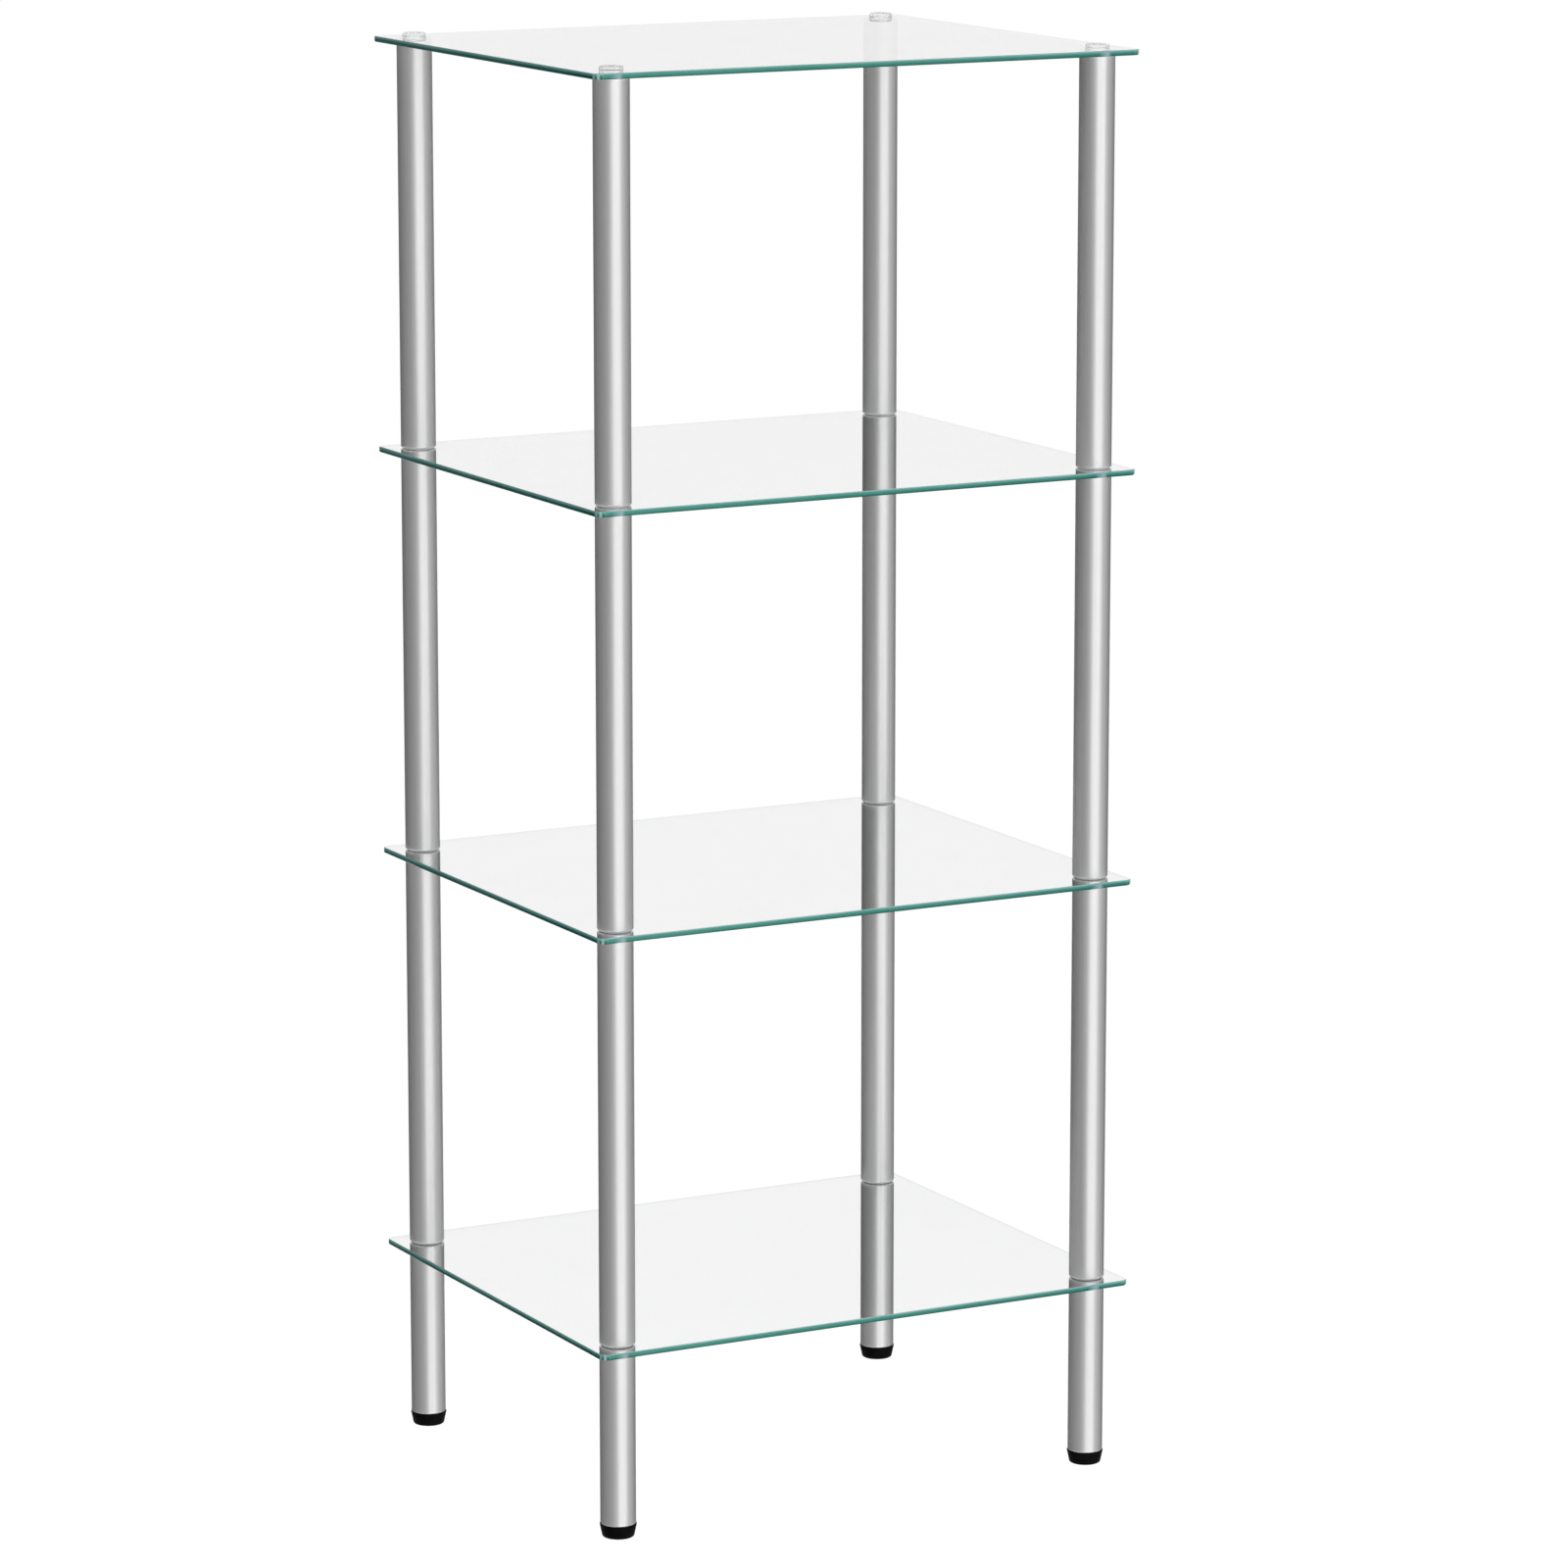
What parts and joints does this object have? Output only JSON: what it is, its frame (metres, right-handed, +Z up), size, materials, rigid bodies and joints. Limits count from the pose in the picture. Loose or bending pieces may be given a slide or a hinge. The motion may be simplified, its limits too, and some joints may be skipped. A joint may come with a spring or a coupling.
{
  "type": "glass bathroom etagere",
  "caption": "Free-standing open etagere: clear glass shelves clamped between satin silver tube legs, with black feet below and clear cap screws on top.",
  "frame": {"origin": "on the floor, under the middle of the shelves", "axes": "+Z up, +X along the long front edge towards the right, -Y towards the viewer in front"},
  "size_m": [0.42, 0.355, 1.0165],
  "materials": {
    "clear_glass": "clear polished, teal at the ground edges",
    "satin_silver": "satin silver lacquer with a fine grain",
    "black_plastic": "black moulded, slight sheen",
    "clear_plastic": "clear moulded, glossy",
    "white_nylon": "natural moulded",
    "zinc_steel": "zinc plated thread"
  },
  "bodies": {
    "root": {"bottom_shelf_bushes": "clear_plastic", "bottom_shelf_studs": "zinc_steel", "cap_screw_back_left": "clear_plastic", "cap_screw_back_right": "clear_plastic", "cap_screw_front_left": "clear_plastic", "cap_screw_front_right": "clear_plastic", "foot_back_left": "black_plastic", "foot_back_right": "black_plastic", "foot_front_left": "black_plastic", "foot_front_right": "black_plastic", "glass_shelf_bottom": "clear_glass", "glass_shelf_lower": "clear_glass", "glass_shelf_top": "clear_glass", "glass_shelf_upper": "clear_glass", "leg_tube_back_left": "satin_silver", "leg_tube_back_right": "satin_silver", "leg_tube_front_left": "satin_silver", "leg_tube_front_right": "satin_silver", "leg_tube_top_plugs": "white_nylon", "lower_shelf_bushes": "clear_plastic", "lower_shelf_studs": "zinc_steel", "lower_tube_back_left": "satin_silver", "lower_tube_back_right": "satin_silver", "lower_tube_bottom_plugs": "white_nylon", "lower_tube_front_left": "satin_silver", "lower_tube_front_right": "satin_silver", "lower_tube_top_plugs": "white_nylon", "middle_tube_back_left": "satin_silver", "middle_tube_back_right": "satin_silver", "middle_tube_bottom_plugs": "white_nylon", "middle_tube_front_left": "satin_silver", "middle_tube_front_right": "satin_silver", "middle_tube_top_plugs": "white_nylon", "top_shelf_bushes": "clear_plastic", "upper_shelf_bushes": "clear_plastic", "upper_shelf_studs": "zinc_steel", "upper_tube_back_left": "satin_silver", "upper_tube_back_right": "satin_silver", "upper_tube_bottom_plugs": "white_nylon", "upper_tube_front_left": "satin_silver", "upper_tube_front_right": "satin_silver", "upper_tube_top_plugs": "white_nylon"}
  },
  "joints": []
}
